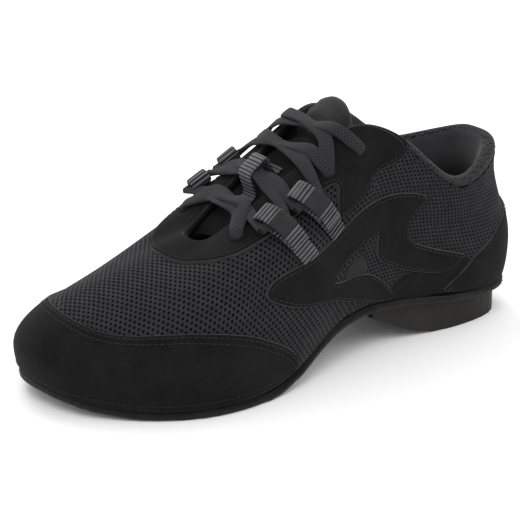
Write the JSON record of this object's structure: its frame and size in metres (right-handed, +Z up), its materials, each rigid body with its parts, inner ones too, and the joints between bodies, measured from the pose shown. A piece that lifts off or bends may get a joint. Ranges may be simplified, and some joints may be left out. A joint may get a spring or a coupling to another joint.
{
  "type": "dance sneaker",
  "caption": "Low lace-up dance sneaker for the left foot: padded mesh upper with suede overlays, thin suede sole, high arch and a separate rubber heel block.",
  "frame": {"origin": "on the ground under the middle of the shoe's overall box", "axes": "+Z up, -X toward the toe, -Y toward the outer side of the left foot"},
  "size_m": [0.2496, 0.1028, 0.1106],
  "materials": {
    "air_mesh": "black open air mesh over a padded lining",
    "suede_sole": "dark suede split sole sheet with frayed edge",
    "foam_lining": "dark grey cloth footbed",
    "heel_rubber": "brownish black moulded rubber",
    "tongue_cloth": "black padded cloth",
    "suede": "black napped suede",
    "webbing": "dark grey ribbed webbing",
    "lace_cord": "dark grey flat woven lace"
  },
  "bodies": {
    "root": {"upper": "air_mesh", "outsole": "suede_sole", "insole": "foam_lining", "heel": "heel_rubber", "tongue": "tongue_cloth", "toe_cap": "suede", "eyestay": "suede", "side_overlay_lateral": "suede", "side_overlay_medial": "suede", "heel_counter": "suede", "strap_lateral_front": "webbing", "strap_lateral_back": "webbing", "strap_medial_front": "webbing", "strap_medial_back": "webbing", "tongue_keeper": "webbing", "lace": "lace_cord"}
  },
  "joints": []
}
